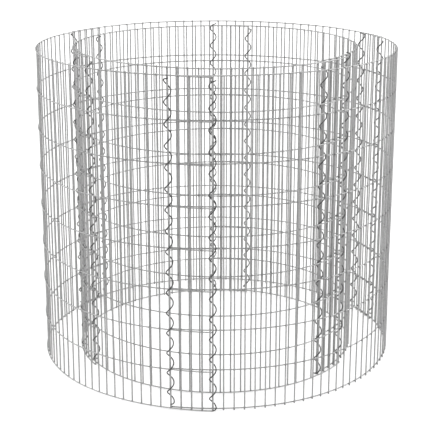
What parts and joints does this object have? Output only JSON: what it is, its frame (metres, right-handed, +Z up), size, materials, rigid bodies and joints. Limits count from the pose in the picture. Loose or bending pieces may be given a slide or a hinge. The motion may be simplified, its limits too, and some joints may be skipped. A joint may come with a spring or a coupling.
{
  "type": "round gabion planter",
  "caption": "Round gabion planter: an outer and an inner ring of welded wire mesh, held together by spiral wires, with a gap between them for stones and room for soil inside.",
  "frame": {"origin": "on the ground, on the common axis of the two rings", "axes": "+Z up along the rings' axis; -Y towards the front of the picture, which is the side with the outer ring's front lap; +X to its right"},
  "size_m": [0.9128, 0.918, 0.8],
  "materials": {
    "mesh_wire": "hot-dip galvanised, satin grey",
    "spiral_wire": "galvanised spring wire, a little darker"
  },
  "bodies": {
    "outer_ring": {"outer_panel_right": "mesh_wire", "outer_panel_back": "mesh_wire", "outer_panel_left": "mesh_wire", "outer_spiral_front_a": "spiral_wire", "outer_spiral_front_b": "spiral_wire", "outer_spiral_right_a": "spiral_wire", "outer_spiral_right_b": "spiral_wire", "outer_spiral_left_a": "spiral_wire", "outer_spiral_left_b": "spiral_wire"},
    "inner_ring": {"inner_panel_right": "mesh_wire", "inner_panel_left": "mesh_wire", "inner_panel_front": "mesh_wire", "inner_spiral_right_a": "spiral_wire", "inner_spiral_right_b": "spiral_wire", "inner_spiral_back_a": "spiral_wire", "inner_spiral_back_b": "spiral_wire", "inner_spiral_left_a": "spiral_wire", "inner_spiral_left_b": "spiral_wire"}
  },
  "joints": [
    {"name": "inner_ring_lift", "type": "slide", "parent": "outer_ring", "child": "inner_ring", "axis": [0, 0, 1], "range_m": [0, 0.85]}
  ]
}
